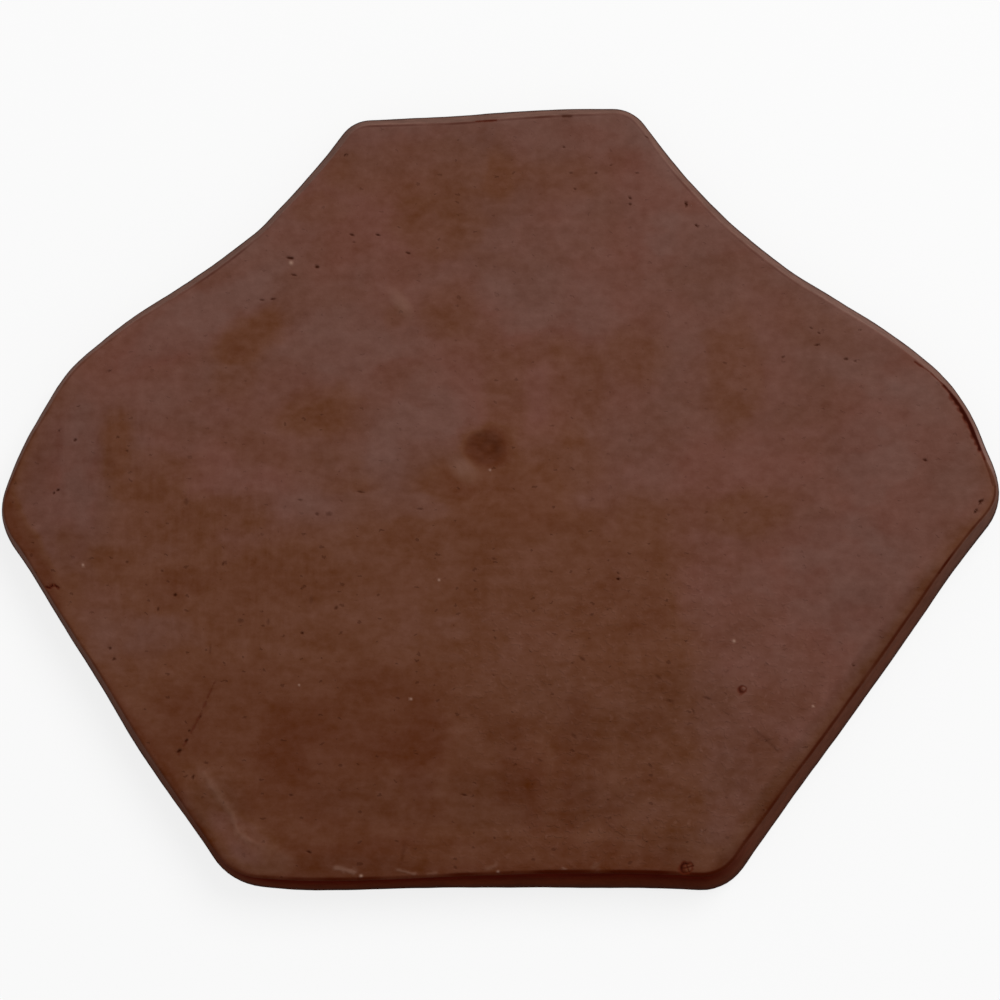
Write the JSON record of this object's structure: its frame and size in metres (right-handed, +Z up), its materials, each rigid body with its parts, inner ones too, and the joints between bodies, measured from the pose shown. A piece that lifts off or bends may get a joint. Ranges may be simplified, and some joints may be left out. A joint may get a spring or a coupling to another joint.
{
  "type": "flat clay tile",
  "caption": "Hand-made fired clay tile: a flat slab with a short straight neck, ogee shoulders, round side corners, straight sides tapering to a wide foot edge, and side walls that slope in towards the face.",
  "frame": {"origin": "centre of the tile's bounding box, on the base that it lies on", "axes": "+X across the two side corners, +Y from the foot edge towards the neck edge, +Z up out of the face"},
  "size_m": [0.395, 0.3088, 0.02],
  "materials": {
    "clay": "smoothed brown fired clay with a soft sheen, brush marks, small pits and browner stains"
  },
  "bodies": {
    "root": {"tile": "clay"}
  },
  "joints": []
}
